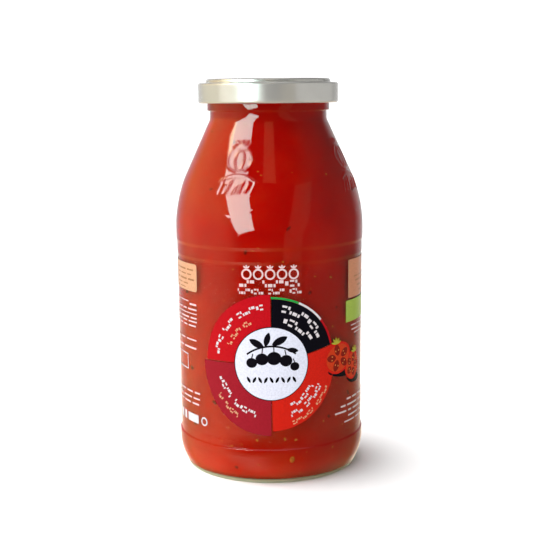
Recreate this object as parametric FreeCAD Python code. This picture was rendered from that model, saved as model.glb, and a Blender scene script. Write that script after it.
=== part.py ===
import FreeCAD
import Part

import math
import os

# A glass jar of tomato pulp with a screwed-on twist-off lid and a printed label of clear film.
# Millimetres. +Z is up, the origin is the middle of the foot on the table, and the label's front faces -Y.
# Glass, pulp, lid and label are bodies of revolution about Z, turned from outlines in (radius, height).

# Glass body: radii
body_radius = 38.0  # the widest ring, under the shoulder
band_depth = 0.3  # how far the plain band above the label lies inside the widest ring
panel_depth = 0.5  # how far the label panel's top edge lies inside the widest ring
panel_taper = 0.2  # how much narrower the label panel is at its bottom edge
heel_depth = 0.15  # how far the heel's bulge lies inside the widest ring
wall = 2.6  # at the bottom of the label panel, and up the shoulder
heel_slope = 66.6  # degrees of the heel's lower part above the table

# Glass body: heights, stacked from the foot up
heel_height = 7.5  # from the table to where the lines of the heel's slope and its bulge cross
heel_bulge_height = 6.65  # from that crossing to the top of the bulge
heel_step_height = 0.7  # the slope from the bulge in to the label panel
panel_height = 71.95
step_height = 1.2  # each of the two slopes above the label panel
band_height = 4.2
widest_height = 15.8  # from the upper slope to where the lines of body and shoulder cross
shoulder_height = 31.7
neck_height = 3.1
bead_height = 3.6
finish_height = 8.8  # from the bead to the sealing rim

# Glass body: roundings
heel_radius = 20.0
foot_radius = 0.8
step_radius = 0.9
shoulder_radius = 55.0
neck_radius = 5.0
bead_edge_radius = 0.3
inner_heel_radius = 18.0
inner_foot_radius = 3.0

# Base
foot_ring_width = 2.2
base_thickness = 1.8
floor_ring_width = 1.0  # flat part of the floor, before it rises towards the middle
push_up = 2.2  # how far the underside rises in the middle
push_up_slope = 16.0  # width of the underside's slope, from the foot ring inwards
push_up_edge_radius = 0.8
push_up_radius = 25.0

# Mouth and screw finish
mouth_radius = 21.0
finish_wall = 3.0
rim_round = 0.7
bead_proud = 0.5  # how far the bead stands out of the finish
bead_bevel = 0.3  # height of the bead's upper and lower bevels
neck_inset = 1.05  # how far the neck lies inside the bead
thread_count = 4
thread_proud = 1.1
thread_height = 1.8  # where the thread leaves the glass
thread_bevel = 0.4  # how much lower the thread is at its crest, at each of its two edges
thread_arc = 66.0  # degrees of each thread
thread_root = 0.5  # how deep each thread's solid starts inside the finish

# Lid
sheet = 0.25  # thickness of the steel
curl_radius = 0.85  # outer radius of the rolled edge
curl_clearance = 1.75  # between the bead and the rolled edge
skirt_height = 7.9  # from the rolled edge's underside up to the shoulder
skirt_edge_radius = 0.8
ring_height = 1.6  # from the shoulder up to the top of the raised ring
ring_clearance = 0.35  # between the glass rim and the raised ring
ring_lean = 0.4  # how much narrower the raised ring is at its top
ring_inner_clearance = 0.2  # how far inside the mouth the raised ring ends
ring_edge_radius = 0.5
recess_depth = 0.9  # how far the lid's middle lies below its ring
recess_slope = 0.9  # width of the slope from the ring down to the middle
button_radius = 11.5
button_slope = 2.6
button_dip = 0.6  # how far the vacuum holds the button down
lug_arc = 14.0
lug_height = 0.8
lug_reach = 1.6  # how far a lug stands in from the rolled edge
lug_root = 0.2  # how far a lug reaches into the rolled edge
thread_clearance = 0.15  # between a lug's top and the thread above it

# Contents and label
headspace = 3.0  # between the pulp and the underside of the lid's middle
pulp_clearance = 0.05  # between the pulp and the glass
film = 0.1
label_clearance = 0.03  # the glue between film and glass
label_margin_bottom = 2.65  # between the panel's bottom edge and the film
label_margin_top = 0.8
label_gap = 1.5  # degrees left open at the seam, at the back

# What follows from them: radii
heel_bulge_radius = body_radius - heel_depth
panel_top_radius = body_radius - panel_depth
panel_bottom_radius = panel_top_radius - panel_taper
band_radius = body_radius - band_depth
inner_radius = panel_bottom_radius - wall
finish_radius = mouth_radius + finish_wall
bead_radius = finish_radius + bead_proud
neck_outer_radius = bead_radius - neck_inset
curl_inner_radius = bead_radius + curl_clearance
curl_centre_radius = curl_inner_radius + curl_radius
lid_radius = curl_centre_radius + curl_radius
ring_top_radius = finish_radius + ring_clearance + sheet
ring_foot_radius = ring_top_radius + ring_lean
ring_inner_radius = mouth_radius - ring_inner_clearance

# What follows from them: heights
heel_bulge_top = heel_height + heel_bulge_height
panel_bottom = heel_bulge_top + heel_step_height
panel_top = panel_bottom + panel_height
band_bottom = panel_top + step_height
band_top = band_bottom + band_height
widest_bottom = band_top + step_height
shoulder_bottom = widest_bottom + widest_height
shoulder_top = shoulder_bottom + shoulder_height
bead_bottom = shoulder_top + neck_height
bead_top = bead_bottom + bead_height
rim_top = bead_top + finish_height
lid_top = rim_top + sheet
lid_shoulder = lid_top - ring_height
lid_bottom = lid_shoulder - skirt_height
curl_centre_height = lid_bottom + curl_radius
recess_top = lid_top - recess_depth
fill_level = recess_top - sheet - headspace
lug_bottom = curl_centre_height - lug_height / 2
thread_bottom = curl_centre_height + lug_height / 2 + thread_clearance

origin = FreeCAD.Vector(0, 0, 0)
axis = FreeCAD.Vector(0, 0, 1)
back = 90.0  # the angle of +Y, where the label's seam is


def at(corner):
    """The point of a corner, which is (radius, height) or (radius, height, rounding)."""
    return FreeCAD.Vector(corner[0], 0, corner[1])


def direction(first, second):
    """The unit vector from one corner to another."""
    step = at(second) - at(first)
    return step.normalize()


def rounded_edges(corners):
    """Edges along corners, where a tangent arc of its rounding replaces each corner that has one."""
    edges = []
    start = at(corners[0])
    for before, corner, after in zip(corners, corners[1:], corners[2:]):
        to_before = direction(corner, before)
        to_after = direction(corner, after)
        half_angle = to_before.getAngle(to_after) / 2
        reach = corner[2] / math.tan(half_angle)
        arc_start = at(corner) + to_before * reach
        if (arc_start - start).Length > 1e-6:
            edges.append(Part.LineSegment(start, arc_start).toShape())
        start = arc_start
        if reach > 1e-6:
            to_centre = (to_before + to_after).normalize()
            arc_middle = at(corner) + to_centre * (corner[2] / math.sin(half_angle) - corner[2])
            start = at(corner) + to_after * reach
            edges.append(Part.Arc(arc_start, arc_middle, start).toShape())
    if (at(corners[-1]) - start).Length > 1e-6:
        edges.append(Part.LineSegment(start, at(corners[-1])).toShape())
    return edges


def beside(corners, distance):
    """Corners of the line at a distance to the right of another, with its arcs about the same centres."""
    line = []
    ahead = direction(corners[0], corners[1])
    line.append((corners[0][0] + ahead.z * distance, corners[0][1] - ahead.x * distance, 0))
    for before, corner, after in zip(corners, corners[1:], corners[2:]):
        arriving = direction(before, corner)
        leaving = direction(corner, after)
        stretch = distance / (1 + arriving.dot(leaving))
        turn = arriving.x * leaving.z - arriving.z * leaving.x
        rounding = corner[2] + distance * math.copysign(1, turn) if corner[2] else 0
        line.append(
            (
                corner[0] + (arriving.z + leaving.z) * stretch,
                corner[1] - (arriving.x + leaving.x) * stretch,
                max(rounding, 0),
            )
        )
    ahead = direction(corners[-2], corners[-1])
    line.append((corners[-1][0] + ahead.z * distance, corners[-1][1] - ahead.x * distance, 0))
    return line


def turned(edges, sweep=360.0, start_angle=0.0):
    """The solid that a closed outline makes when it is turned about Z."""
    face = Part.Face(Part.Wire(edges))
    solid = face.revolve(origin, axis, sweep)
    solid.rotate(origin, axis, start_angle)
    return solid


def straight(first, second):
    """The edge between two corners."""
    return Part.LineSegment(at(first), at(second)).toShape()


def around(solid, count):
    """Copies of a solid, spread evenly about Z."""
    copies = []
    for index in range(count):
        copy = solid.copy()
        copy.rotate(origin, axis, index * 360.0 / count)
        copies.append(copy)
    return copies


def panel_radius_at(height):
    """The glass's radius at a height within the tapered label panel."""
    return panel_bottom_radius + (height - panel_bottom) / panel_height * panel_taper


def base_and_heel(floor, flat_width, foot_rounding, heel_rounding, side_radius):
    """Corners of a face of the base, from its middle out to the foot and up the heel to an upright side."""
    slope = math.radians(heel_slope)
    foot = side_radius - (heel_height - floor) / math.tan(slope)
    flat_inner = foot - foot_rounding * math.tan(slope / 2) - flat_width
    return [
        (0, floor + push_up, 0),
        (flat_inner - push_up_slope, floor + push_up, push_up_radius),
        (flat_inner, floor, push_up_edge_radius),
        (foot, floor, foot_rounding),
        (side_radius, heel_height, heel_rounding),
    ]


def glass_outside():
    """Corners of the jar's outer face, from the middle of its underside up to its mouth."""
    return [
        *base_and_heel(0, foot_ring_width, foot_radius, heel_radius, heel_bulge_radius),
        (heel_bulge_radius, heel_bulge_top, step_radius),
        (panel_bottom_radius, panel_bottom, step_radius),
        (panel_top_radius, panel_top, step_radius),
        (band_radius, band_bottom, step_radius),
        (band_radius, band_top, step_radius),
        (body_radius, widest_bottom, step_radius),
        (body_radius, shoulder_bottom, shoulder_radius),
        (neck_outer_radius, shoulder_top, neck_radius),
        (neck_outer_radius, bead_bottom, bead_edge_radius),
        (bead_radius, bead_bottom + bead_bevel, bead_edge_radius),
        (bead_radius, bead_top - bead_bevel, bead_edge_radius),
        (finish_radius, bead_top, bead_edge_radius),
        (finish_radius, rim_top, rim_round),
        (mouth_radius, rim_top, rim_round),
    ]


def glass_inside():
    """Corners of the jar's inner face, from the middle of its floor up to the sealing rim."""
    lean = math.atan2(body_radius - neck_outer_radius, shoulder_height)
    inner_start = body_radius - wall / math.cos(lean)
    lower_corner = shoulder_bottom + (inner_start - inner_radius) / math.tan(lean)
    upper_corner = shoulder_bottom + (inner_start - mouth_radius) / math.tan(lean)
    return [
        *base_and_heel(base_thickness, floor_ring_width, inner_foot_radius, inner_heel_radius, inner_radius),
        (inner_radius, lower_corner, shoulder_radius - wall),
        (mouth_radius, upper_corner, neck_radius + wall),
        (mouth_radius, rim_top, rim_round),
        (finish_radius, rim_top, 0),
    ]


def thread():
    """One of the ridges on the finish, which a lug of the lid hooks under."""
    root = finish_radius - thread_root
    crest = finish_radius + thread_proud
    top = thread_bottom + thread_height
    # The bevels reach the ridge's full height where it leaves the glass.
    loop = [
        (root, thread_bottom),
        (finish_radius, thread_bottom),
        (crest, thread_bottom + thread_bevel / 2),
        (crest, top - thread_bevel),
        (finish_radius, top),
        (root, top),
        (root, thread_bottom),
    ]
    edges = [straight(first, second) for first, second in zip(loop, loop[1:])]
    return turned(edges, thread_arc, -thread_arc / 2)


def glass_jar():
    """The jar's glass, with its threads."""
    outside = glass_outside()
    inside = glass_inside()
    mouth_middle = (mouth_radius + finish_radius) / 2
    outer_edges = rounded_edges([*outside[:-1], (mouth_middle, rim_top, 0)])
    inner_edges = rounded_edges([*inside[:-1], (mouth_middle, rim_top, 0)])
    glass = turned([*outer_edges, *reversed(inner_edges), straight(inside[0], outside[0])])
    return glass.fuse(around(thread(), thread_count)).removeSplitter()


def tomato_pulp():
    """The pulp that fills the jar up to the headspace."""
    inside = glass_inside()
    # The last two corners are the rim's, so the surface of the pulp takes their place.
    outline = beside([*inside[:-2], (mouth_radius, fill_level, 0)], -pulp_clearance)
    top_middle = (0, fill_level)
    edges = rounded_edges(outline)
    return turned([*edges, straight(outline[-1], top_middle), straight(top_middle, outline[0])])


def lug():
    """One of the tabs on the lid's rolled edge."""
    inner = curl_inner_radius - lug_reach
    outer = curl_inner_radius + lug_root
    top = lug_bottom + lug_height
    loop = [(inner, lug_bottom), (outer, lug_bottom), (outer, top), (inner, top), (inner, lug_bottom)]
    edges = [straight(first, second) for first, second in zip(loop, loop[1:])]
    return turned(edges, lug_arc, -lug_arc / 2)


def lid():
    """The steel lid: button, recess, raised ring, skirt, rolled edge and lugs."""
    top_face = [
        (0, recess_top - button_dip, 0),
        (button_radius - button_slope, recess_top - button_dip, 2 * button_slope),
        (button_radius, recess_top, 2 * button_slope),
        (ring_inner_radius - recess_slope, recess_top, ring_edge_radius),
        (ring_inner_radius, lid_top, ring_edge_radius),
        (ring_top_radius, lid_top, ring_edge_radius),
        (ring_foot_radius, lid_shoulder, ring_edge_radius),
        (lid_radius, lid_shoulder, skirt_edge_radius),
        (lid_radius, lid_bottom, curl_radius),
        (curl_inner_radius, lid_bottom, curl_radius),
        (curl_inner_radius, curl_centre_height + curl_radius, curl_radius),
        (curl_centre_radius, curl_centre_height + curl_radius, 0),
    ]
    under_face = beside(top_face, sheet)
    cut_end = straight(top_face[-1], under_face[-1])
    middle = straight(under_face[0], top_face[0])
    steel = turned([*rounded_edges(top_face), cut_end, *reversed(rounded_edges(under_face)), middle])
    return steel.fuse(around(lug(), thread_count)).removeSplitter()


def label():
    """The clear film around the label panel, open by a narrow gap at the back."""
    bottom = panel_bottom + label_margin_bottom
    top = panel_top - label_margin_top
    inner = [(panel_radius_at(height) + label_clearance, height) for height in (bottom, top)]
    outer = [(radius + film, height) for radius, height in inner]
    loop = [inner[0], outer[0], outer[1], inner[1], inner[0]]
    edges = [straight(first, second) for first, second in zip(loop, loop[1:])]
    return turned(edges, 360.0 - label_gap, back + label_gap / 2)


os.makedirs("parts", exist_ok=True)
nodes = {
    "glass_jar": glass_jar(),
    "tomato_pulp": tomato_pulp(),
    "lid": lid(),
    "label": label(),
}
for name, shape in nodes.items():
    print(name, len(shape.Solids), "solid", round(shape.Volume), "mm3", "valid", shape.isValid())
    shape.exportStep(f"parts/{name}.step")
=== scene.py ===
import math
import random

import bmesh
import bpy
from mathutils import Matrix, Vector


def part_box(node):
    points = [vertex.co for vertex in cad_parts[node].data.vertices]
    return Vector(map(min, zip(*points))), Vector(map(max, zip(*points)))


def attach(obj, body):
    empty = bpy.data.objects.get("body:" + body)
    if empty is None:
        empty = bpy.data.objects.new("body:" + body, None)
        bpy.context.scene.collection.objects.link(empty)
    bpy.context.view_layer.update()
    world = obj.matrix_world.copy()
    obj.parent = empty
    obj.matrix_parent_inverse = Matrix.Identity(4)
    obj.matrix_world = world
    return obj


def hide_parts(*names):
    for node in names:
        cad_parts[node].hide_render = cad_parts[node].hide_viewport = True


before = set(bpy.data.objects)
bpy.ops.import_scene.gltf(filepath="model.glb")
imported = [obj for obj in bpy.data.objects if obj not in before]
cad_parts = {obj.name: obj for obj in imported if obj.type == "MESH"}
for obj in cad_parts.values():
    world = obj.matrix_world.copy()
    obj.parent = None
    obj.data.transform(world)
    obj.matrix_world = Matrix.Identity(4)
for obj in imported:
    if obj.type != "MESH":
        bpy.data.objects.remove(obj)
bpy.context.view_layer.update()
mm = 0.001
body = "root"

# the frame's own sizes, in mm, that every piece below is fitted to
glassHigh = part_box("glass_jar")[1] / mm
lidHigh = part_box("lid")[1] / mm
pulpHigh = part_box("tomato_pulp")[1] / mm
labelLow, labelHigh = (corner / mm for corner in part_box("label"))

weld = 0.002  # points nearer to each other than this, in mm, become one
outerSkin = 0.3  # how far inside its outline, in mm, a point still counts as on the outer face


def corner(radius, height, rounding=0.0, segments=6):  # one corner of a profile, in mm
    return radius, height, rounding, segments


def drawProfile(corners, longest):  # a line in the XZ plane, rounded at its corners and cut into short runs
    bm = bmesh.new()
    points = [bm.verts.new((c[0] * mm, 0, c[1] * mm)) for c in corners]
    for first, second in zip(points, points[1:]):
        bm.edges.new((first, second))
    for i in range(1, len(corners) - 1):
        rounding, segments = corners[i][2:]
        if not rounding:
            continue
        here = Vector(corners[i][:2])
        turn = (here - Vector(corners[i - 1][:2])).angle(Vector(corners[i + 1][:2]) - here)
        # bevel pulls a shallow corner in a little too far, which the second factor makes good
        reach = rounding * math.tan(turn / 2) * (1 + math.sqrt(0.5)) / (1 + math.cos(turn / 2))
        bmesh.ops.bevel(
            bm, geom=[points[i]], offset=reach * mm, offset_type='OFFSET', affect='VERTICES',
            segments=segments, profile=0.5, material=-1, clamp_overlap=False,
        )
    for edge in list(bm.edges):
        cuts = int(edge.calc_length() / (longest * mm))
        if cuts:
            bmesh.ops.subdivide_edges(bm, edges=[edge], cuts=cuts)
    return bm


def turnRound(bm, steps):  # spins the line once about Z and closes the shape
    bmesh.ops.spin(
        bm, geom=bm.verts[:] + bm.edges[:], cent=(0, 0, 0), axis=(0, 0, 1),
        angle=math.tau, steps=steps, use_merge=True,
    )
    bmesh.ops.remove_doubles(bm, verts=bm.verts, dist=weld * mm)
    bmesh.ops.recalc_face_normals(bm, faces=bm.faces)


def thicken(bm, thickness):  # turns a sheet's faces outwards and gives it its thickness
    bm.normal_update()
    inward = [face for face in bm.faces if face.normal.xy.dot(face.calc_center_median().xy) < 0]
    bmesh.ops.reverse_faces(bm, faces=inward)
    bmesh.ops.solidify(bm, geom=bm.faces[:], thickness=-thickness * mm)


def toPiece(bm, name, material, smooth=True):  # makes the mesh an object that rides with the jar
    mesh = bpy.data.meshes.new(name)
    bm.to_mesh(mesh)
    bm.free()
    for face in mesh.polygons:
        face.use_smooth = smooth
    mesh.materials.append(material)
    piece = bpy.data.objects.new(name, mesh)
    bpy.context.collection.objects.link(piece)
    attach(piece, body)
    print(name, len(mesh.polygons), "faces")
    return piece


def newMaterial(name):  # a material and its shader
    material = bpy.data.materials.new(name)
    material.use_nodes = True
    return material, material.node_tree.nodes["Principled BSDF"]


def addNode(material, kind, inputs=(), **settings):  # a node, with its inputs by name or number
    node = material.node_tree.nodes.new(kind)
    for name, value in settings.items():
        setattr(node, name, value)
    for key, value in dict(inputs).items():
        if isinstance(value, bpy.types.NodeSocket):
            material.node_tree.links.new(value, node.inputs[key])
        else:
            node.inputs[key].default_value = value
    return node


def link(material, source, target):
    material.node_tree.links.new(source, target)


def cloud(material, where, scale, detail):  # an uneven pattern that stays with the piece
    pattern = {0: where.outputs["Object"], "Scale": scale, "Detail": detail}
    return addNode(material, 'ShaderNodeTexNoise', pattern).outputs[0]


def spread(material, source, low, high, start=0.0, end=1.0):  # maps start and end onto low and high
    return addNode(material, 'ShaderNodeMapRange', {
        "Value": source, "From Min": start, "From Max": end, "To Min": low, "To Max": high,
    }).outputs[0]


def addBumps(material, shader, source, strength, depth):  # depth is in metres
    bump = addNode(material, 'ShaderNodeBump', {"Strength": strength, "Distance": depth, "Height": source})
    link(material, bump.outputs[0], shader.inputs["Normal"])


def colourRamp(material, source, stops):  # stops are (place, (r, g, b))
    node = addNode(material, 'ShaderNodeValToRGB', {0: source})
    ramp = node.color_ramp
    while len(ramp.elements) < len(stops):
        ramp.elements.new(0.5)
    for element, (place, colour) in zip(ramp.elements, stops):
        element.position = place
        element.color = (*colour, 1)
    return node.outputs[0]


# the camera: its sensor, lens and place in mm, and its tilt in degrees
camera = dict(
    sensor=36, lens=73.617, nearest=10.0, distance=448.39, height=152.03, aside=0.09,
    pitch=9.242, roll=-0.551,
)


def addCamera():
    data = bpy.data.cameras.new("camera")
    data.sensor_width = camera["sensor"]
    data.lens = camera["lens"]
    data.clip_start = camera["nearest"] * mm
    eye = bpy.data.objects.new("camera", data)
    place = Matrix.Translation((camera["aside"] * mm, -camera["distance"] * mm, camera["height"] * mm))
    tilt = Matrix.Rotation(math.radians(90 - camera["pitch"]), 4, 'X')
    eye.matrix_world = place @ tilt @ Matrix.Rotation(math.radians(camera["roll"]), 4, 'Z')
    bpy.context.collection.objects.link(eye)
    bpy.context.scene.camera = eye


addCamera()
print("camera set")

# the floor's size in metres, the brightness of floor, backdrop, fill light and unlit room, and where
# the fill light comes from
studio = dict(
    floorSize=12.0, floorColour=0.85, floorGrain=0.01, backdrop=1.15,
    fillSide=1.85, fillAzimuth=-72.0, fillRise=30.0, dark=0.02, panelSoftness=0.012,
)

# what the jar mirrors of the room: a colour, and along X, Y or Z where it starts and where it is full
mirrorZones = [
    ((0.78, 0.72, 0.42), [("X", -0.50, -0.95)]),  # the wall and a warm card on the left
    ((0.60, 0.30, 0.00), [("Z", -0.05, 0.25), ("X", -0.40, -0.80)]),  # the card's upper half
    ((0.14, 0.14, 0.12), [("X", 0.45, 0.95)]),  # the wall on the right
    ((0.70, 0.70, 0.70), [("Y", 0.55, 0.95)]),  # the wall behind
    ((0.80, 0.80, 0.80), [("Z", 0.80, 0.97)]),  # the ceiling
    ((0.56, 0.34, 0.08), [("Z", -0.12, -0.30)]),  # the table
    ((0.18, 0.20, 0.13), [("Z", -0.45, -0.75)]),  # the table beside the foot
    ((1.00, 0.80, 0.60), [("Z", -0.24, -0.36), ("X", 0.15, -0.45), ("Y", -0.35, -0.80)]),  # its lit front
    ((-0.24, -0.15, -0.03), [("Z", -0.12, -0.30), ("X", 0.15, 0.60)]),  # its duller right
]

# bright panels that show only as mirror images: brightness, and the azimuth and rise of each corner
panels = [
    ((8.2, 11.5, 10.8), [(-37.7, -7.2), (-17.9, -1.2), (-46.0, 56.9), (-88.1, 46.8)]),
    ((17.0, 15.0, 10.0), [(-71.7, 36.4), (-88.1, 46.8), (-110.1, 29.8)]),
    ((0.26, 0.22, 0.13), [(16, -12), (38, -12), (66, 34), (38, 34)]),
    ((0.55, 0.38, 0.18), [(-9, 40), (11, 40), (16, 72), (-14, 72)]),
]

# lamps that each light one piece: azimuth, rise, angle and power
lamps = dict(topLight=(-114, 76, 38, 3.6), lidLeft=(-46, 4, 80, 1.05), lidRight=(88, 4, 84, 0.75))


def bearing(azimuth, rise):  # a direction from the jar, with 0 towards the camera and minus to its left
    turn, lift = math.radians(azimuth), math.radians(rise)
    return Vector((math.sin(turn) * math.cos(lift), -math.cos(turn) * math.cos(lift), math.sin(lift)))


def addLamp(name, piece):
    azimuth, rise, angle, power = lamps[name]
    data = bpy.data.lights.new(name, 'SUN')
    data.energy = power
    data.angle = math.radians(angle)
    lamp = bpy.data.objects.new(name, data)
    lamp.matrix_world = bearing(azimuth, rise).to_track_quat('Z', 'Y').to_matrix().to_4x4()
    bpy.context.collection.objects.link(lamp)
    lit = bpy.data.collections.new(name + "Pieces")
    lit.objects.link(piece)
    lamp.light_linking.receiver_collection = lit


def addFloor():
    bm = bmesh.new()
    bmesh.ops.create_grid(bm, x_segments=1, y_segments=1, size=studio["floorSize"] / 2)
    mesh = bpy.data.meshes.new("floor")
    bm.to_mesh(mesh)
    bm.free()
    floor = bpy.data.objects.new("floor", mesh)
    floor.visible_glossy = False  # the table's own mirror image is one of the zones above
    bpy.context.collection.objects.link(floor)
    paper, shader = newMaterial("floorPaper")
    grain = addNode(paper, 'ShaderNodeTexNoise', {"Scale": 40.0, "Detail": 3.0})
    shade = studio["floorColour"]
    stops = [(0.3, (shade,) * 3), (0.7, (shade - studio["floorGrain"],) * 3)]
    link(paper, colourRamp(paper, grain.outputs[0], stops), shader.inputs["Base Color"])
    shader.inputs["Roughness"].default_value = 0.9
    shader.inputs["Specular IOR Level"].default_value = 0.1
    mesh.materials.append(paper)
    addLamp("topLight", floor)


def addWorld():  # soft light from one side, which mirrors as a dark room with a few bright panels
    world = bpy.data.worlds.new("studio")
    world.use_nodes = True
    bpy.context.scene.world = world
    path = addNode(world, 'ShaderNodeLightPath')
    way = addNode(world, 'ShaderNodeTexCoord').outputs["Generated"]
    parts = addNode(world, 'ShaderNodeSeparateXYZ', {0: way})

    def fade(source, start, end):  # from 0 at the start to 1 at the end
        return addNode(world, 'ShaderNodeMapRange', {
            "Value": source, "From Min": start, "From Max": end,
        }, interpolation_type='SMOOTHSTEP').outputs[0]

    def times(first, second):
        return addNode(world, 'ShaderNodeMath', {0: first, 1: second}, operation='MULTIPLY').outputs[0]

    def towards(direction):  # how nearly a ray goes that way
        return addNode(world, 'ShaderNodeVectorMath', {
            0: way, 1: direction,
        }, operation='DOT_PRODUCT').outputs["Value"]

    def glow(total, colour, amount):  # adds a colour by an amount to what is mirrored
        scaled = addNode(world, 'ShaderNodeVectorMath', {0: colour, "Scale": amount}, operation='SCALE')
        added = addNode(world, 'ShaderNodeVectorMath', {0: total, 1: scaled.outputs[0]}, operation='ADD')
        return added.outputs[0]

    def choose(choice, usual, chosen):
        return addNode(world, 'ShaderNodeMix', {
            "Factor": path.outputs[choice], 6: usual, 7: chosen,
        }, data_type='RGBA').outputs[2]

    mirrored = (studio["dark"],) * 3
    for colour, limits in mirrorZones:
        amount = 1.0
        for axis, start, end in limits:
            amount = times(fade(parts.outputs[axis], start, end), amount)
        mirrored = glow(mirrored, colour, amount)
    soft = studio["panelSoftness"]
    for colour, corners in panels:
        spots = [bearing(*spot) for spot in corners]
        inside = 1.0
        for first, second in zip(spots, spots[1:] + spots[:1]):
            edge = second.cross(first).normalized()
            if edge.dot(sum(spots, Vector())) < 0:
                edge.negate()
            inside = times(fade(towards(edge), -soft, soft), inside)
        mirrored = glow(mirrored, colour, inside)
    facing = towards(bearing(studio["fillAzimuth"], studio["fillRise"]))
    fill = choose("Is Glossy Ray", spread(world, facing, 0.0, studio["fillSide"]), mirrored)
    seen = choose("Is Camera Ray", fill, (studio["backdrop"],) * 3 + (1,))
    link(world, seen, world.node_tree.nodes["Background"].inputs["Color"])
    world.cycles.sampling_method = 'NONE'


addFloor()
addWorld()
bpy.context.scene.view_settings.view_transform = 'Standard'
print("studio set")

# the glass, in mm from the bottom up: the outside, the finish under the lid, the inside and the threads
jar = dict(
    steps=240, longestRun=6.5,
    heelIn=0.15, panelIn=0.5, panelTaper=0.2, bandIn=0.3, wall=2.6, stepRound=0.15, bandRound=1.6,
    pushUp=2.2, pushUpSlope=16.0, pushUpRound=25.0, pushUpEdge=0.8,
    footInner=31.88, footOuter=34.6, footRadius=0.8, heelCorner=7.5, heelRadius=20.0, heelTop=14.25,
    panelBottom=14.7, panelTop=86.8, bandBottom=88.0, bandTop=92.2, widestBottom=93.4,
    shoulderBottom=109.2, shoulderRadius=55.0, shoulderTop=140.9, neckRadius=5.0, neckOuter=23.45,
    beadBottom=144.0, beadTop=147.6, beadOuter=24.5, beadBevel=0.3, neckLean=0.06,
    finishOuter=24.0, mouth=21.0, rimRound=0.7,
    floor=1.8, floorRing=29.26, innerFoot=32.23, innerFootRadius=3.0, innerFootGrow=0.6,
    innerHeelCorner=7.5, innerHeelRadius=18.0,
    threadBottom=148.55, threadTop=150.35, threadProud=1.1, threadArc=66.0, threadCount=4,
    threadRise=0.2, threadFall=0.4,
)

# the moulded relief on the shoulder, which comes back four times round the jar: its place and fineness,
# then the fruit with its ribs and calyx, the crescent, the strokes and the ticks under it
relief = dict(
    first=-22.0, count=4, halfWidth=15.0, low=104.5, high=134.0, run=0.75, cuts=2, proud=0.24, edge=0.55,
    fruit=(0.4, 126.0), fruitRadius=4.5, fruitSquash=1.12, fruitLine=0.35,
    ribAside=3.6, ribRadius=5.4, ribReach=3.9, ribLine=0.22,
    calyxRise=4.3, calyxReach=3.1, calyxLine=0.5, calyxTurns=(15, 50, 90, 130, 165),
    crescentTop=(0.8, 110.0), crescentRadius=10.9, crescentCut=(0.8, 103.4), crescentCutRadius=16.0,
    strokes=7, strokeFirst=(-7.6, 113.4), strokeApart=2.35, strokeStep=0.35, strokeLean=1.5,
    strokeLong=4.2, strokeShorter=1.2, strokeLine=0.36,
    ticks=(((-3.2, 105.3), (-0.6, 104.9)), ((6.4, 106.8), (8.2, 107.9))), tickLine=0.1,
)
bodyRadius = glassHigh.x
panelBottomRadius = bodyRadius - jar["panelIn"] - jar["panelTaper"]
cavityRadius = panelBottomRadius - jar["wall"]
shoulderLean = math.atan2(bodyRadius - jar["neckOuter"], jar["shoulderTop"] - jar["shoulderBottom"])


def cavityLine(grow=0.0):  # corners of the glass's inner face, from the mouth down to the floor's middle
    start = bodyRadius - (jar["wall"] - grow) / math.cos(shoulderLean)
    wide, narrow = cavityRadius + grow, jar["mouth"] + grow
    low = jar["shoulderBottom"] + (start - wide) / math.tan(shoulderLean)
    high = jar["shoulderBottom"] + (start - narrow) / math.tan(shoulderLean)
    foot = jar["innerFoot"] + grow * jar["innerFootGrow"]
    floor = jar["floor"] - grow
    middle = floor + jar["pushUp"]
    return [
        corner(narrow, high, jar["neckRadius"] + jar["wall"], 8),
        corner(wide, low, jar["shoulderRadius"] - jar["wall"], 12),
        corner(wide, jar["innerHeelCorner"], jar["innerHeelRadius"], 12),
        corner(foot, floor, jar["innerFootRadius"], 8),
        corner(jar["floorRing"], floor, jar["pushUpEdge"], 3),
        corner(jar["floorRing"] - jar["pushUpSlope"], middle, jar["pushUpRound"], 4),
        corner(0, middle),
    ]


def glassLine():  # corners of the whole glass section, from the middle of the underside round to the floor
    heel = bodyRadius - jar["heelIn"]
    band = bodyRadius - jar["bandIn"]
    bevel = jar["beadBevel"]
    finish = jar["finishOuter"]
    return [
        corner(0, jar["pushUp"]),
        corner(jar["footInner"] - jar["pushUpSlope"], jar["pushUp"], jar["pushUpRound"], 4),
        corner(jar["footInner"], 0, jar["pushUpEdge"], 3),
        corner(jar["footOuter"], 0, jar["footRadius"], 6),
        corner(heel, jar["heelCorner"], jar["heelRadius"], 16),
        corner(heel, jar["heelTop"], jar["stepRound"], 4),
        corner(panelBottomRadius, jar["panelBottom"], jar["stepRound"], 4),
        corner(bodyRadius - jar["panelIn"], jar["panelTop"], jar["bandRound"], 4),
        corner(band, jar["bandBottom"], jar["bandRound"], 4),
        corner(band, jar["bandTop"], jar["bandRound"], 4),
        corner(bodyRadius, jar["widestBottom"], jar["bandRound"], 4),
        corner(bodyRadius, jar["shoulderBottom"], jar["shoulderRadius"], 34),
        corner(jar["neckOuter"], jar["shoulderTop"], jar["neckRadius"], 8),
        corner(jar["neckOuter"] - jar["neckLean"], jar["beadBottom"], bevel, 4),
        corner(jar["beadOuter"], jar["beadBottom"] + bevel, bevel, 4),
        corner(jar["beadOuter"] - jar["neckLean"], jar["beadTop"] - bevel, bevel, 4),
        corner(finish, jar["beadTop"], bevel, 4),
        corner(finish, jar["threadBottom"]),
        corner(finish, jar["threadBottom"] + jar["threadRise"]),
        corner(finish, jar["threadTop"] - jar["threadFall"]),
        corner(finish, jar["threadTop"]),
        corner(finish, glassHigh.z, jar["rimRound"], 6),
        corner(jar["mouth"], glassHigh.z, jar["rimRound"], 6),
        *cavityLine(),
    ]


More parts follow.
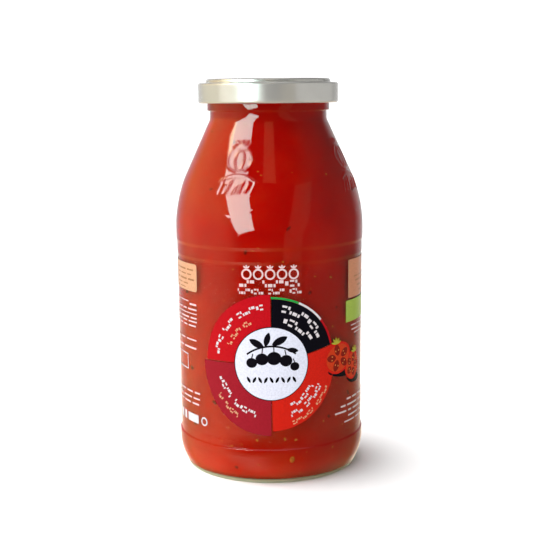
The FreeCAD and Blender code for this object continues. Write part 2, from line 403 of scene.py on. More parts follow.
def inArc(vert, count, arc):  # is the point in one of so many equal arcs round the jar
    pitch = 360 / count
    turn = math.degrees(math.atan2(vert.co.y, vert.co.x)) + pitch / 2
    return abs(turn % pitch - pitch / 2) < arc / 2


def raiseThreads(bm):  # the ridges that the lid's lugs hook under
    low = jar["threadBottom"] + jar["threadRise"] / 2
    high = jar["threadTop"] - jar["threadFall"] / 2
    for vert in bm.verts:
        radius = vert.co.xy.length / mm
        if not low < vert.co.z / mm < high or radius < jar["finishOuter"] - outerSkin:
            continue
        if inArc(vert, jar["threadCount"], jar["threadArc"]):
            vert.co.xy *= 1 + jar["threadProud"] / radius


def glassMaterial():
    material, shader = newMaterial("clearGlass")
    shader.inputs["Base Color"].default_value = (0.94, 0.975, 0.945, 1)
    shader.inputs["Transmission Weight"].default_value = 1
    shader.inputs["IOR"].default_value = 1.5
    where = addNode(material, 'ShaderNodeTexCoord')
    wear = cloud(material, where, 60.0, 4.0)
    link(material, spread(material, wear, 0.0, 0.05, 0.35, 0.8), shader.inputs["Roughness"])
    # moulded glass is never quite even, so its mirror images wander a little
    addBumps(material, shader, cloud(material, where, 45.0, 1.0), 0.12, 0.0004)
    # the foot is stippled, so it scatters light where the rest is clear
    height = addNode(material, 'ShaderNodeSeparateXYZ', {0: where.outputs["Object"]}).outputs[2]
    stipple = spread(material, height, 0.75, 0.0, 1.2 * mm, 2.2 * mm)
    tint = colourRamp(material, spread(material, height, 0.0, 1.0, 0.8 * mm, 2.4 * mm), [
        (0.0, (0.62, 0.69, 0.48)), (1.0, (0.86, 0.52, 0.24)),
    ])
    frost = addNode(material, 'ShaderNodeBsdfPrincipled', {
        "Base Color": tint, "Roughness": 0.5, "Transmission Weight": 0.35, "IOR": 1.5,
    })
    body = addNode(material, 'ShaderNodeMixShader', {0: stipple, 1: shader.outputs[0], 2: frost.outputs[0]})
    # light passes straight through to what is inside
    path = addNode(material, 'ShaderNodeLightPath')
    clear = addNode(material, 'ShaderNodeBsdfTransparent', {0: (0.92, 0.96, 0.93, 1)})
    mix = addNode(material, 'ShaderNodeMixShader', {
        0: path.outputs["Is Shadow Ray"], 1: body.outputs[0], 2: clear.outputs[0],
    })
    link(material, mix.outputs[0], material.node_tree.nodes["Material Output"].inputs[0])
    return material


def shoulderAt(height):  # the shoulder's outer radius and how far it leans there
    arc = jar["shoulderRadius"]
    rise = height - (jar["shoulderBottom"] - arc * math.tan(shoulderLean / 2))
    bend = min(max(rise, 0) / arc, math.sin(shoulderLean))
    beyond = max(rise - arc * math.sin(shoulderLean), 0)
    radius = bodyRadius - arc + arc * math.sqrt(1 - bend * bend) - beyond * math.tan(shoulderLean)
    return radius, math.asin(bend)


def toStroke(spot, start, end):  # distance from a spot to a straight stroke
    along = end - start
    share = min(max((spot - start).dot(along) / along.length_squared, 0), 1)
    return (spot - start - along * share).length


def reliefShare(spot):  # how raised the relief is at a spot, from 0 to 1
    middle = Vector(relief["fruit"])
    out = spot - middle
    squashed = Vector((out.x / relief["fruitSquash"], out.y))
    away = abs(squashed.length - relief["fruitRadius"]) - relief["fruitLine"]
    for aside in (-1.0, 1.0):
        rib = Vector((middle.x - aside * relief["ribAside"], middle.y))
        if abs(out.y) < relief["ribReach"] and out.x * aside > 0:
            away = min(away, abs((spot - rib).length - relief["ribRadius"]) - relief["ribLine"])
    stem = Vector((middle.x, middle.y + relief["calyxRise"]))
    for turn in relief["calyxTurns"]:
        tip = Vector((math.cos(math.radians(turn)), math.sin(math.radians(turn))))
        away = min(away, toStroke(spot, stem, stem + tip * relief["calyxReach"]) - relief["calyxLine"])
    outside = (spot - Vector(relief["crescentTop"])).length - relief["crescentRadius"]
    cut = relief["crescentCutRadius"] - (spot - Vector(relief["crescentCut"])).length
    away = min(away, max(outside, cut))
    for i in range(relief["strokes"]):
        aside = Vector((i * relief["strokeApart"], relief["strokeStep"] * (i % 3)))
        foot = Vector(relief["strokeFirst"]) + aside
        along = Vector((relief["strokeLean"], relief["strokeLong"] - relief["strokeShorter"] * (i % 2)))
        away = min(away, toStroke(spot, foot, foot + along) - relief["strokeLine"])
    for start, end in relief["ticks"]:
        away = min(away, toStroke(spot, Vector(start), Vector(end)) - relief["tickLine"])
    share = min(max(0.5 - away / relief["edge"], 0), 1)
    return share * share * (3 - 2 * share)


def raiseRelief(bm):  # finer faces where the relief is, and its shape
    def fromMiddle(vert):  # degrees from the middle of the nearest relief
        turn = math.degrees(math.atan2(vert.co.x, -vert.co.y)) - relief["first"]
        pitch = 360 / relief["count"]
        return (turn + pitch / 2) % pitch - pitch / 2

    def inside(vert, margin=0.0):
        height = vert.co.z / mm
        if not relief["low"] - margin <= height <= relief["high"] + margin:
            return False
        outer = vert.co.xy.length / mm > shoulderAt(height)[0] - outerSkin
        return outer and abs(fromMiddle(vert)) <= relief["halfWidth"] + margin

    edges = [edge for edge in bm.edges if all(inside(vert) for vert in edge.verts)]
    bmesh.ops.subdivide_edges(bm, edges=edges, cuts=relief["cuts"], use_grid_fill=True)
    for vert in bm.verts:
        if not inside(vert, 0.001):
            continue
        radius, lean = shoulderAt(vert.co.z / mm)
        spot = Vector((math.radians(fromMiddle(vert)) * radius, vert.co.z / mm))
        proud = relief["proud"] * reliefShare(spot)
        vert.co.xy *= (radius + proud * math.cos(lean)) * mm / vert.co.xy.length
        vert.co.z += proud * math.sin(lean) * mm


def buildJar():
    bm = drawProfile(glassLine(), jar["longestRun"])
    for edge in bm.edges[:]:
        height, radius = (sum((vert.co for vert in edge.verts), Vector()) / 2 / mm).zx
        outer = radius > shoulderAt(height)[0] - outerSkin
        if outer and relief["low"] - 1 < height < relief["high"] + 1:
            cuts = math.ceil(edge.calc_length() / mm / relief["run"]) - 1
            if cuts > 0:
                bmesh.ops.subdivide_edges(bm, edges=[edge], cuts=cuts)
    turnRound(bm, jar["steps"])
    raiseThreads(bm)
    raiseRelief(bm)
    piece = toPiece(bm, "glassJar", glassMaterial())
    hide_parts("glass_jar")


buildJar()

# the filling; its colour is painted lighter towards the heel, painted light standing in for the table
# lighting it from below
pulp = dict(
    steps=192, longestRun=3.0, intoWall=0.08, domeDip=0.6, domeEdge=4.0, domeRound=6.0, edgeRound=0.4,
    heelPaintedLight=1.4, paintedLightStart=11.0, paintedLightFull=4.0,
)


def pulpMaterial():
    material, shader = newMaterial("tomatoPulp")
    where = addNode(material, 'ShaderNodeTexCoord')
    base = colourRamp(material, cloud(material, where, 55.0, 5.0), [
        (0.30, (0.47, 0.0026, 0.0007)), (0.55, (0.53, 0.0042, 0.0010)), (0.75, (0.59, 0.011, 0.0018)),
    ])
    height = addNode(material, 'ShaderNodeSeparateXYZ', {0: where.outputs["Object"]}).outputs[2]
    # painted light: the base colour is brightened towards the heel, in place of light from the table below
    glow = spread(material, height, 1.0, pulp["heelPaintedLight"], pulp["paintedLightStart"] * mm, pulp["paintedLightFull"] * mm)
    lit = addNode(material, 'ShaderNodeVectorMath', {0: base, "Scale": glow}, operation='SCALE')
    link(material, lit.outputs[0], shader.inputs["Base Color"])
    shader.inputs["Roughness"].default_value = 0.35
    shader.inputs["Subsurface Weight"].default_value = 0.6
    shader.inputs["Subsurface Radius"].default_value = (1.0, 0.18, 0.08)
    shader.inputs["Subsurface Scale"].default_value = 0.006
    shader.inputs["Specular IOR Level"].default_value = 0.0
    return material


def buildPulp():
    wall = cavityLine(pulp["intoWall"])
    narrow = wall[0][0]
    dome = pulpHigh.z - pulp["domeDip"]
    bm = drawProfile([
        corner(0, dome),
        corner(narrow - pulp["domeEdge"], dome, pulp["domeRound"], 4),
        corner(narrow, pulpHigh.z, pulp["edgeRound"], 3),
        *wall,
    ], pulp["longestRun"])
    turnRound(bm, pulp["steps"])
    piece = toPiece(bm, "tomatoPulp", pulpMaterial())
    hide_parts("tomato_pulp")


buildPulp()

# what is pressed against the glass from inside; a place is a turn in degrees, a height and a size
bits = dict(seed=7, low=4.0, high=140.0, wallFrom=3.5, wallRun=1.0, slimmest=0.45, fullest=0.8, dark=0.7)
seeds = dict(
    count=110, sizes=(0.5, 1.1), flatness=0.16, colour=(0.66, 0.14, 0.018),
    places=[
        (13.0, 9.8, 2.6), (-23.0, 84.8, 1.0), (41.0, 80.5, 1.6), (29.0, 81.5, 1.1), (8.0, 88.0, 0.9),
        (-26.0, 14.5, 1.2), (-19.0, 15.6, 0.8), (-33.0, 16.0, 0.9), (-8.0, 8.0, 0.7),
        (-9.0, 17.8, 1.3), (8.5, 18.1, 1.5), (15.5, 17.5, 1.3), (-28.0, 22.0, 1.0), (35.0, 23.5, 1.1),
    ],
)
skins = dict(count=70, sizes=(0.8, 2.4), flatness=0.11, colour=(0.24, 0.004, 0.002), places=[])


def bitMaterial(name, colour):
    material, shader = newMaterial(name)
    where = addNode(material, 'ShaderNodeTexCoord')
    darker = tuple(c * bits["dark"] for c in colour)
    tone = colourRamp(material, cloud(material, where, 700.0, 3.0), [(0.3, darker), (0.7, colour)])
    link(material, tone, shader.inputs["Base Color"])
    shader.inputs["Roughness"].default_value = 0.4
    shader.inputs["Specular IOR Level"].default_value = 0.0
    return material


def buildBits(name, kind, material):
    profile = drawProfile(cavityLine(pulp["intoWall"]), bits["wallRun"])
    wall = [(vert.co.z / mm, vert.co.x / mm) for vert in profile.verts if vert.co.z > bits["wallFrom"] * mm]
    profile.free()
    bm = bmesh.new()
    spots = list(kind["places"])
    while len(spots) < kind["count"]:
        turn, height = chance.uniform(0, 360), chance.uniform(bits["low"], bits["high"])
        spots.append((turn, height, chance.uniform(*kind["sizes"])))
    for turn, height, size in spots:
        radius = min(wall, key=lambda point: abs(point[0] - height))[1]
        place = Matrix.Translation((0, -radius * mm, height * mm))
        place = Matrix.Rotation(math.radians(turn), 4, 'Z') @ place
        lie = Matrix.Rotation(math.radians(chance.uniform(0, 180)), 4, 'Y')
        width = size * chance.uniform(bits["slimmest"], bits["fullest"])
        shape = Matrix.Diagonal((size * mm / 2, kind["flatness"] * mm, width * mm / 2, 1))
        bmesh.ops.create_icosphere(bm, subdivisions=2, radius=1, matrix=place @ lie @ shape)
    toPiece(bm, name, material)


chance = random.Random(bits["seed"])
buildBits("pulpSeeds", seeds, bitMaterial("tomatoSeed", seeds["colour"]))
buildBits("pulpSkins", skins, bitMaterial("tomatoSkin", skins["colour"]))

# the steel lid, in mm: the sheet and its rolled edge, the top from the outside in, and the lugs
lid = dict(
    steps=240, longestRun=1.2, sheet=0.25, curl=0.85, curlInner=26.25, curlLow=147.15,
    shoulder=155.05, shoulderRound=0.8, ringFoot=25.0, ringFootRound=0.4, ringTop=24.6, ringInner=20.8,
    ringRound=1.0, recess=0.9, recessSlope=0.9, recessRound=0.5,
    button=11.5, buttonSlope=2.6, buttonDip=0.6, buttonRound=5.0,
    lugArc=14.0, lugReach=1.6, lugCount=4, lugHalfHeight=0.6, lugFrom=0.4,
)


def lidLine():  # the steel's outer face, from the button's middle out and down round the rolled edge
    top = lidHigh.z
    low = top - lid["recess"]
    dip = low - lid["buttonDip"]
    outer, inner = lidHigh.x, lid["curlInner"]
    curl = lid["curl"]
    return [
        corner(0, dip),
        corner(lid["button"] - lid["buttonSlope"], dip, lid["buttonRound"], 6),
        corner(lid["button"], low, lid["buttonRound"], 6),
        corner(lid["ringInner"] - lid["recessSlope"], low, lid["recessRound"], 4),
        corner(lid["ringInner"], top, lid["ringRound"], 5),
        corner(lid["ringTop"], top, lid["ringRound"], 5),
        corner(lid["ringFoot"], lid["shoulder"], lid["ringFootRound"], 4),
        corner(outer, lid["shoulder"], lid["shoulderRound"], 8),
        corner(outer, lid["curlLow"], curl, 8),
        corner(inner, lid["curlLow"], curl, 8),
        corner(inner, lid["curlLow"] + 2 * curl, curl, 8),
        corner(inner + curl, lid["curlLow"] + 2 * curl),
    ]


def lidMaterial():
    material, shader = newMaterial("lacqueredSteel")
    where = addNode(material, 'ShaderNodeTexCoord')
    tone = colourRamp(material, cloud(material, where, 90.0, 6.0), [
        (0.3, (0.51, 0.50, 0.47)), (0.7, (0.54, 0.53, 0.50)),
    ])
    link(material, tone, shader.inputs["Base Color"])
    shader.inputs["Metallic"].default_value = 0.55
    # the sheet keeps the fine streaks of its rolling
    streak = addNode(material, 'ShaderNodeMapping', {
        0: where.outputs["Object"], "Scale": (900.0, 40.0, 900.0),
    })
    rolled = addNode(material, 'ShaderNodeTexNoise', {0: streak.outputs[0], "Scale": 1.0, "Detail": 2.0})
    link(material, spread(material, rolled.outputs[0], 0.20, 0.26), shader.inputs["Roughness"])
    addBumps(material, shader, rolled.outputs[0], 0.05, 0.00002)
    return material


def pushLugs(bm):  # the tabs that are pressed in from the rolled edge
    middle = lid["curlLow"] + lid["curl"]
    for vert in bm.verts:
        radius = vert.co.xy.length / mm
        height = vert.co.z / mm - middle
        if radius > lid["curlInner"] + lid["lugFrom"] or abs(height) > lid["lugHalfHeight"]:
            continue
        if inArc(vert, lid["lugCount"], lid["lugArc"]):
            vert.co.xy *= 1 - lid["lugReach"] / radius


def buildLid():
    bm = drawProfile(lidLine(), lid["longestRun"])
    turnRound(bm, lid["steps"])
    pushLugs(bm)
    bmesh.ops.solidify(bm, geom=bm.faces[:], thickness=lid["sheet"] * mm)
    piece = toPiece(bm, "lidSteel", lidMaterial())
    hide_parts("lid")
    addLamp("lidLeft", piece)
    addLamp("lidRight", piece)


buildLid()

# the label, in mm and degrees: how the film lies on the glass, how the print lies on the film, and the
# disc in its middle
label = dict(
    filmSteps=240, filmGap=0.03, film=0.1, backGap=1.5,
    arcRadius=37.45, arcRun=1.2, cutEvery=1.5, cutNear=0.0001, ink=0.03, lift=0.005, apart=0.035,
    middle=(0.3, 48.7), discRadius=14.2, discOutline=0.35, fieldGap=0.5, bandInner=25.3, bandOuter=26.1,
)

inkColours = dict(
    white=(0.72, 0.68, 0.70), cool=(0.76, 0.78, 0.90), rose=(0.84, 0.58, 0.57), peach=(0.70, 0.37, 0.21),
    apricot=(0.59, 0.25, 0.135), brown=(0.40, 0.19, 0.09),
    dark=(0.003, 0.003, 0.007), crimson=(0.50, 0.004, 0.010), maroon=(0.33, 0.010, 0.022),
    scarlet=(0.62, 0.014, 0.006), leaf=(0.03, 0.34, 0.06), lime=(0.35, 0.48, 0.075),
    flesh=(0.60, 0.045, 0.010), pale=(0.72, 0.22, 0.05), calyx=(0.45, 0.42, 0.04), rust=(0.22, 0.012, 0.006),
)

# the ring round the disc: ink, outer radius, start and end in degrees
ringFields = [
    ("crimson", 27.1, 90.0, 180.0),
    ("maroon", 28.6, 180.0, 270.0),
    ("scarlet", 26.7, 270.0, 373.0),
    ("dark", 25.2, 13.0, 90.0),
]
ringBand = [("leaf", 65.4, 90.0), ("white", 39.0, 65.2), ("crimson", 13.2, 38.8)]

# rows of small blocks round the ring: ink, radius, height, start, end, and how many blocks in each group
ringRows = [
    ("white", 22.4, 2.2, 172.0, 97.0, (5, 4, 7)),
    ("peach", 18.1, 1.9, 157.0, 115.0, (2, 6, 4)),
    ("white", 21.9, 2.8, 79.0, 25.0, (9,)),
    ("white", 17.5, 2.8, 75.0, 28.0, (6,)),
    ("white", 21.0, 2.2, 196.0, 254.0, (6, 7)),
    ("peach", 24.8, 1.8, 211.0, 238.0, (3, 8)),
    ("white", 18.4, 2.1, 294.0, 331.0, (8,)),
    ("white", 21.6, 2.1, 290.0, 335.0, (4, 8)),
    ("peach", 25.0, 1.5, 289.0, 336.0, (8, 7)),
]

# rows of small blocks under the title: ink, height, line height, left, right, and the blocks in each group
titleRows = [
    ("rose", 79.9, 2.6, -11.8, 11.8, (3, 7)),
    ("rose", 76.9, 2.1, -12.4, 12.4, (8, 5, 4)),
]

# straight rows of bars: ink, height, line height, left, right, and the bars' lengths
plainRows = [
    ("brown", 82.9, 0.62, -58.0, -34.6, (6, 3, 7, 5)),
    ("brown", 81.0, 0.47, -58.0, -36.0, (4, 6, 5, 3)),
    ("brown", 79.0, 0.7, -58.0, -34.0, (7, 3, 8, 5)),
    ("brown", 77.2, 0.47, -58.0, -38.6, (5, 6, 4)),
    ("brown", 75.6, 0.39, -58.0, -41.0, (7, 4)),
    ("rose", 70.2, 0.39, -58.0, -38.6, (12,)),
    ("rose", 69.2, 0.7, -37.6, -32.8, (8,)),
    ("rose", 67.2, 0.62, -58.0, -32.7, (4, 7, 3, 6)),
    ("rose", 65.5, 0.39, -58.0, -32.7, (20,)),
    ("rose", 63.8, 0.62, -58.0, -32.8, (6, 3, 7, 4)),
    ("rose", 62.3, 0.55, -58.0, -32.7, (3, 8, 4, 6)),
    ("rose", 60.6, 0.62, -58.0, -33.4, (5, 6, 3, 5)),
    ("rose", 54.9, 0.55, -58.0, -33.2, (7, 4, 6)),
    ("rose", 51.6, 0.7, -58.0, -33.4, (5, 5, 8)),
    ("rose", 33.6, 0.7, -58.0, -31.6, (4, 7, 4, 3)),
    ("rose", 31.2, 0.62, -58.0, -31.8, (6, 3, 7, 4)),
    ("rose", 29.0, 0.7, -58.0, -32.4, (3, 6, 5, 4)),
    ("brown", 79.2, 0.47, 40.6, 58.0, (4, 6, 5)),
    ("brown", 77.4, 0.62, 42.0, 58.0, (7, 3)),
    ("brown", 75.2, 0.62, 44.0, 58.0, (5, 6)),
    ("brown", 73.0, 0.47, 46.0, 58.0, (6, 3)),
    ("rose", 59.8, 0.39, 38.2, 58.0, (5, 8, 6)),
    ("rose", 58.0, 0.47, 38.6, 58.0, (7, 4, 7)),
    ("rose", 56.4, 0.39, 41.0, 58.0, (6, 6)),
    ("rose", 30.4, 0.7, 35.0, 58.0, (3, 4, 7, 4)),
    ("rose", 27.9, 0.7, 31.0, 58.0, (3, 8, 5, 6)),
    ("rose", 25.6, 0.7, 27.6, 58.0, (6, 2, 6, 8)),
    ("rose", 23.4, 0.62, 36.2, 58.0, (8, 6, 4)),
    ("rose", 21.2, 0.55, 33.4, 58.0, (7, 9, 3)),
]

# the blocks' plain patterns: left, right, bottom and top of each part, as shares of a block's place
blocks = [
    ((0.0, 0.8, 0.0, 0.45),),
    ((0.0, 0.36, 0.55, 1.0), (0.44, 0.8, 0.0, 0.45)),
    ((0.0, 0.8, 0.0, 0.28), (0.0, 0.8, 0.72, 1.0)),
    ((0.1, 0.7, 0.2, 0.8),),
    ((0.0, 0.8, 0.55, 1.0),),
    ((0.0, 0.36, 0.0, 0.45), (0.44, 0.8, 0.55, 1.0)),
]
blockStep = 5  # how many patterns on from one block to the next

# fields of colour beside the ring: name, ink, left, right, bottom, top and rounding
sideFields = [
    ("peachField", "peach", -66.0, -32.2, 74.4, 85.4, 1.2),
    ("apricotField", "apricot", 35.8, 66.0, 71.0, 86.3, 0.5),
    ("greenField", "lime", 34.2, 66.0, 61.5, 70.2, 0.3),
]

largeBars = dict(
    left=-50.0, right=-33.0, up=22.8, height=3.4, lengths=(3, 2, 7), ringAcross=-29.4, ring=3.6, ringLine=0.6,
)
outlinedBox = dict(
    middle=(-49.2, 45.5), rows=(42.5, 48.5), sides=(-40.2, -58.0), width=18.0, height=6.4, line=0.4,
)

# the disc's picture, measured from its middle: a stem by its radii and angles, fruits with their stalks,
# leaves and a leafy row
vine = dict(
    stemDrop=8.4, stem=(15.0, 15.7, 52, 128),
    fruits=[(-7.6, 0.4, 4.2), (-3.6, 1.9, 5.0), (1.0, 2.2, 5.6), (5.6, 1.2, 4.9), (9.0, -1.2, 3.6)],
    fruitSquash=0.92, stalk=0.4, stalkAside=0.97, stalkRise=0.6, stalkLong=0.55, stalkLean=2,
    leaves=[(-5.6, 8.0, 6.4, 150), (-1.6, 9.6, 5.6, 75), (3.2, 9.0, 6.6, 28), (8.2, 5.2, 4.6, -10)],
    leafSlim=0.42, leafPoint=0.5,
    rowCount=9, rowLeft=8.8, rowApart=2.2, rowDrop=6.3, rowLeaf=(2.7, 1.05), rowLeans=(118, 62),
)

# the title: a row of outlined fruits, each with its leaves
title = dict(
    count=5, left=-8.9, up=83.5, apart=4.5, width=4.0, height=4.2, line=0.62,
    leafTurns=(40, 90, 140), leafRise=2.3, leafAcross=0.9, leafUp=0.6, leaf=(1.5, 0.6), leafPoint=0.5,
)

# two tomato halves: middle, width, height, tilt
halves = [((39.2, 43.6), 11.4, 11.6, -20.0), ((29.6, 48.3), 15.4, 12.6, 12.0)]

# what each half is drawn of, mostly as shares of its size
halfParts = dict(
    flesh=0.86,
    pocketTurns=(20, 92, 164, 236, 308), pocketOut=0.52, pocketWide=0.30, pocketHigh=0.24, pocketPoint=0.25,
    pipTurns=(8, 34, 80, 106, 152, 178, 226, 250, 296, 320), pipOut=0.50, pip=(0.75, 0.5),
    sepalTurns=(20, 55, 95, 130, 165), sepalFrom=0.93, sepalOut=1.3, sepal=(3.0, 0.8), sepalPoint=0.6,
    shadowAside=1.4, shadowDrop=0.46, shadowWide=0.95, shadowHigh=4.2, shadowTilt=-8.0,
)
upright = Matrix.Rotation(math.pi / 2, 4, 'X')  # stands a shape up in the plane of the flat print


def panelRadius(height):  # radius of the glass under the label, in mm
    share = (height - jar["panelBottom"]) / (jar["panelTop"] - jar["panelBottom"])
    return panelBottomRadius + share * jar["panelTaper"]


def spotOn(across, up):  # a point of the flat print, before it is wrapped round the jar
    return Vector((across * mm, 0, up * mm))


def tilted(middle, turn):  # a place on the flat print, turned by some degrees
    return Matrix.Translation(spotOn(*middle)) @ Matrix.Rotation(math.radians(-turn), 4, 'Y')


def drawSector(bm, middle, inner, outer, start, end):  # part of a ring
    where = spotOn(*middle)
    along = Vector((math.cos(math.radians(start)), 0, math.sin(math.radians(start))))
    ends = [bm.verts.new(where + along * radius * mm) for radius in (inner, outer)]
    edge = bm.edges.new(ends)
    turn = math.radians(end - start)
    steps = max(2, math.ceil(abs(turn) * outer / label["arcRun"]))
    bmesh.ops.spin(
        bm, geom=[*ends, edge], cent=where, axis=(0, -1, 0), angle=turn, steps=steps, use_merge=False,
    )


def drawBar(bm, middle, width, height, turn=0.0):
    shape = Matrix.Diagonal((width * mm / 2, height * mm / 2, 1, 1))
    bmesh.ops.create_grid(
        bm, x_segments=1, y_segments=1, size=1, matrix=tilted(middle, turn) @ upright @ shape,
    )


def drawDisc(bm, middle, width, height=None, turn=0.0, point=0.0, hollow=0.0, segments=40):
    # an oval, pointed at its ends by the share given, or only its rim
    place = tilted(middle, turn)
    circle = bmesh.ops.create_circle(bm, cap_ends=True, segments=segments, radius=1, matrix=upright)
    for vert in circle["verts"]:
        vert.co.z *= abs(vert.co.z) ** point * (height or width) * mm / 2
        vert.co.x *= width * mm / 2
        vert.co = place @ vert.co
    if hollow:
        face = circle["verts"][0].link_faces[0]
        bmesh.ops.inset_region(
            bm, faces=[face], thickness=hollow * mm, use_even_offset=True, use_boundary=True,
        )
        bmesh.ops.delete(bm, geom=[face], context='FACES_ONLY')


def drawField(bm, left, right, low, high, rounding):  # a field of colour with rounded corners
    spots = ((left, low), (right, low), (right, high), (left, high))
    points = [bm.verts.new(spotOn(*spot)) for spot in spots]
    bm.faces.new(points)
    bmesh.ops.bevel(
        bm, geom=points, offset=rounding * mm, offset_type='OFFSET', affect='VERTICES',
        segments=5, profile=0.5, material=-1,
    )


def groups(start, end, lengths, gap=1.3):  # where the groups or bars of a row begin and end
    whole = sum(lengths) + gap * (len(lengths) - 1)
    step = (end - start) / whole
    done = 0.0
    for length in lengths:
        yield start + done * step, start + (done + length) * step
        done += length + gap


def inkMaterial(ink):  # printed ink: a fine screen of tone, a slight unevenness and a soft gloss
    material, shader = newMaterial("ink" + ink.capitalize())
    where = addNode(material, 'ShaderNodeTexCoord')
    screen = cloud(material, where, 1600.0, 2.0)
    colour = inkColours[ink]
    darker = tuple(c * 0.86 for c in colour)
    lighter = tuple(min(c * 1.06, 1) for c in colour)
    tone = colourRamp(material, screen, [(0.30, darker), (0.60, colour), (0.80, lighter)])
    link(material, tone, shader.inputs["Base Color"])
    wear = cloud(material, where, 220.0, 3.0)
    link(material, spread(material, wear, 0.12, 0.20), shader.inputs["Roughness"])
    shader.inputs["Specular IOR Level"].default_value = 0.08
    addBumps(material, shader, screen, 0.1, 0.00002)
    return material


inks = {ink: inkMaterial(ink) for ink in inkColours}


def printPiece(name, ink, layer, draw):  # draws flat, cuts into strips, wraps round the jar, gives thickness
    bm = bmesh.new()
    draw(bm)
    step = label["cutEvery"]
    low = min(vert.co.x for vert in bm.verts) / mm
    high = max(vert.co.x for vert in bm.verts) / mm
    for i in range(math.ceil(low / step), math.ceil(high / step)):
        bmesh.ops.bisect_plane(
            bm, geom=bm.verts[:] + bm.edges[:] + bm.faces[:], dist=label["cutNear"] * mm,
            plane_co=(i * step * mm, 0, 0), plane_no=(1, 0, 0),
        )
    lift = label["filmGap"] + label["film"] + label["lift"] + layer * label["apart"]
    for vert in bm.verts:
        turn = vert.co.x / mm / label["arcRadius"]
        radius = panelRadius(vert.co.z / mm) + lift
        vert.co.xy = radius * math.sin(turn) * mm, -radius * math.cos(turn) * mm
    thicken(bm, label["ink"])
    toPiece(bm, name, inks[ink], smooth=False)


def drawBlocks(bm, ink, rows, curved):  # rows of small blocks, straight or round the disc
    for row, (rowInk, middle, height, first, last, counts) in enumerate(rows):
        if rowInk != ink:
            continue
        for group, (start, end) in enumerate(groups(first, last, counts)):
            step = (end - start) / counts[group]
            for i in range(counts[group]):
                for left, right, bottom, top in blocks[(blockStep * i + row + group) % len(blocks)]:
                    near, far = start + (i + left) * step, start + (i + right) * step
                    low, high = middle + (bottom - 0.5) * height, middle + (top - 0.5) * height
                    if curved:
                        drawSector(bm, label["middle"], low, high, near, far)
                    else:
                        drawBar(bm, ((near + far) / 2, (low + high) / 2), far - near, high - low)


def drawBars(bm, up, height, left, right, lengths):  # one row of bars
    for start, end in groups(left, right, lengths):
        drawBar(bm, ((start + end) / 2, up), end - start, height)


def drawRows(bm, ink, rows):
    for rowInk, *row in rows:
        if rowInk == ink:
            drawBars(bm, *row)


def drawLargeBars(bm):  # three large bars and a ring
    up = largeBars["up"]
    drawBars(bm, up, largeBars["height"], largeBars["left"], largeBars["right"], largeBars["lengths"])
    drawDisc(bm, (largeBars["ringAcross"], up), largeBars["ring"], hollow=largeBars["ringLine"], segments=24)


def drawBox(bm):  # an outlined box
    across, up = outlinedBox["middle"]
    for row in outlinedBox["rows"]:
        drawBar(bm, (across, row), outlinedBox["width"], outlinedBox["line"])
    for side in outlinedBox["sides"]:
        drawBar(bm, (side, up), outlinedBox["line"], outlinedBox["height"])


def around(half, share, turn):  # a spot inside a tomato half, by its share of the half's size
    middle, width, height, tilt = half
    angle = math.radians(turn + tilt)
    return middle[0] + share * width / 2 * math.cos(angle), middle[1] + share * height / 2 * math.sin(angle)


def drawSkin(bm, half, share=1.0):
    middle, width, height, tilt = half
    drawDisc(bm, middle, width * share, height * share, tilt)


def drawFlesh(bm, half):
    drawSkin(bm, half, halfParts["flesh"])


def drawPockets(bm, half):  # the seed pockets between the walls
    width, height, tilt = half[1:]
    for turn in halfParts["pocketTurns"]:
        drawDisc(
            bm, around(half, halfParts["pocketOut"], turn), width * halfParts["pocketWide"],
            height * halfParts["pocketHigh"], turn + tilt, point=halfParts["pocketPoint"], segments=20,
        )


def drawPips(bm, half):
    for turn in halfParts["pipTurns"]:
        middle = around(half, halfParts["pipOut"], turn)
        drawDisc(bm, middle, *halfParts["pip"], turn + half[3], segments=8)


def drawCalyx(bm, half):
    across, up = around(half, halfParts["sepalFrom"], 90)
    reach = halfParts["sepalOut"]
    for turn in halfParts["sepalTurns"]:
        lean = math.radians(turn)
        middle = (across + reach * math.cos(lean), up + reach * math.sin(lean))
        drawDisc(bm, middle, *halfParts["sepal"], turn, point=halfParts["sepalPoint"], segments=16)


def drawHalfShadow(bm, half):
    (across, up), width, height, tilt = half
    middle = across + halfParts["shadowAside"], up - height * halfParts["shadowDrop"]
    wide = width * halfParts["shadowWide"]
    drawDisc(bm, middle, wide, halfParts["shadowHigh"], halfParts["shadowTilt"], segments=28)


def drawVine(bm):  # the disc's picture: a truss of tomatoes under its stem, over a row of small leaves
    across, up = label["middle"]
    drawSector(bm, (across, up - vine["stemDrop"]), *vine["stem"])
    for aside, rise, size in vine["fruits"]:
        drawDisc(bm, (across + aside, up + rise), size, size * vine["fruitSquash"])
        top = (across + aside * vine["stalkAside"], up + rise + size * vine["stalkRise"])
        drawBar(bm, top, vine["stalk"], size * vine["stalkLong"], aside * vine["stalkLean"])
    for aside, rise, size, turn in vine["leaves"]:
        middle = (across + aside, up + rise)
        drawDisc(bm, middle, size, size * vine["leafSlim"], turn, point=vine["leafPoint"], segments=24)
    for i in range(vine["rowCount"]):
        middle = (across - vine["rowLeft"] + i * vine["rowApart"], up - vine["rowDrop"])
        lean = vine["rowLeans"][i % 2]
        drawDisc(bm, middle, *vine["rowLeaf"], lean, point=vine["leafPoint"], segments=16)


def drawTitle(bm):
    for i in range(title["count"]):
        across, up = title["left"] + i * title["apart"], title["up"]
        drawDisc(bm, (across, up), title["width"], title["height"], hollow=title["line"])
        for turn in title["leafTurns"]:
            lean = math.radians(turn)
            spot = (
                across + math.cos(lean) * title["leafAcross"],
                up + title["leafRise"] + math.sin(lean) * title["leafUp"],
            )
            drawDisc(bm, spot, *title["leaf"], turn, point=title["leafPoint"], segments=12)


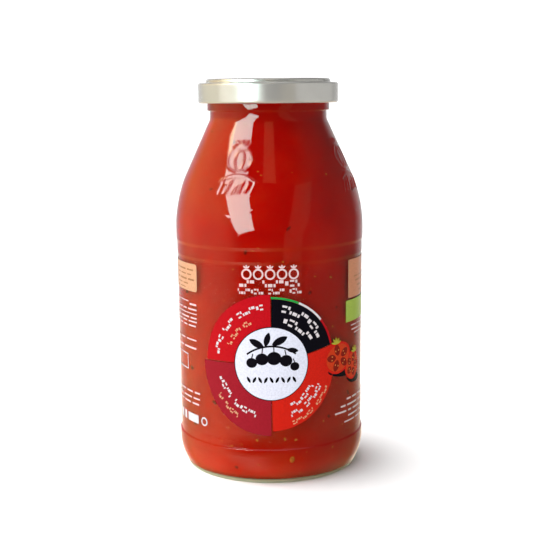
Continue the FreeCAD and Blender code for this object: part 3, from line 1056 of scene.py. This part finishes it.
def filmMaterial():
    material, shader = newMaterial("clearFilm")
    haze = cloud(material, addNode(material, 'ShaderNodeTexCoord'), 70.0, 3.0)
    tone = colourRamp(material, haze, [(0.3, (0.20, 0.20, 0.20)), (0.7, (0.30, 0.30, 0.30))])
    link(material, tone, shader.inputs["Base Color"])
    link(material, spread(material, haze, 0.15, 0.3), shader.inputs["Roughness"])
    shader.inputs["Alpha"].default_value = 0.005
    return material


def buildFilm():  # a clear sleeve of film that carries the print, with its seam at the back
    gap = math.radians(label["backGap"])
    start = Matrix.Rotation(math.pi / 2 + gap / 2, 4, 'Z')
    bm = bmesh.new()
    points = []
    for height in (labelLow.z, labelHigh.z):
        radius = panelRadius(height) + label["filmGap"]
        points.append(bm.verts.new(start @ Vector((radius * mm, 0, height * mm))))
    edge = bm.edges.new(points)
    bmesh.ops.spin(
        bm, geom=[*points, edge], cent=(0, 0, 0), axis=(0, 0, 1),
        angle=math.tau - gap, steps=label["filmSteps"], use_merge=False,
    )
    thicken(bm, label["film"])
    piece = toPiece(bm, "labelFilm", filmMaterial())
    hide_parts("label")


def printRing():  # the fields and the narrow band round the disc, and the disc itself
    middle, disc = label["middle"], label["discRadius"]
    inner, gap = disc + label["discOutline"] / 2, label["fieldGap"]
    for ink, outer, start, end in ringFields:
        printPiece("ring" + ink.capitalize(), ink, 0, lambda bm: drawSector(
            bm, middle, inner, outer, start + gap, end - gap,
        ))
    for ink, start, end in ringBand:
        printPiece("band" + ink.capitalize(), ink, 0, lambda bm: drawSector(
            bm, middle, label["bandInner"], label["bandOuter"], start, end,
        ))
    edge = 2 * (disc + label["discOutline"])
    printPiece("discEdge", "dark", 1, lambda bm: drawDisc(bm, middle, edge, segments=96))
    printPiece("discField", "cool", 2, lambda bm: drawDisc(bm, middle, 2 * disc, segments=96))
    printPiece("discVine", "dark", 3, drawVine)


def printRows():
    printPiece("titleFruits", "rose", 1, drawTitle)
    for ink in ("white", "peach"):
        printPiece("ringBlocks" + ink.capitalize(), ink, 1, lambda bm: drawBlocks(bm, ink, ringRows, True))
    printPiece("titleBlocks", "rose", 1, lambda bm: drawBlocks(bm, "rose", titleRows, False))
    for ink in ("rose", "brown"):
        printPiece("bars" + ink.capitalize(), ink, 1, lambda bm: drawRows(bm, ink, plainRows))


def printSides():
    for name, ink, *edges in sideFields:
        printPiece(name, ink, 0, lambda bm: drawField(bm, *edges))
    printPiece("largeBars", "white", 0, drawLargeBars)
    printPiece("outlinedBox", "white", 0, drawBox)


def printHalves():  # the tomato halves, each in layers from its shadow up; the second lies over the first
    layers = [
        ("Shadow", "dark", -1, drawHalfShadow), ("Skin", "scarlet", 1, drawSkin),
        ("Flesh", "flesh", 2, drawFlesh), ("Pockets", "rust", 3, drawPockets),
        ("Pips", "pale", 4, drawPips), ("Calyx", "calyx", 4, drawCalyx),
    ]
    for i, half in enumerate(halves):
        for part, ink, layer, draw in layers:
            printPiece(f"half{i + 1}{part}", ink, layer + i, lambda bm: draw(bm, half))


buildFilm()
printRing()
printRows()
printSides()
printHalves()
print("label printed")
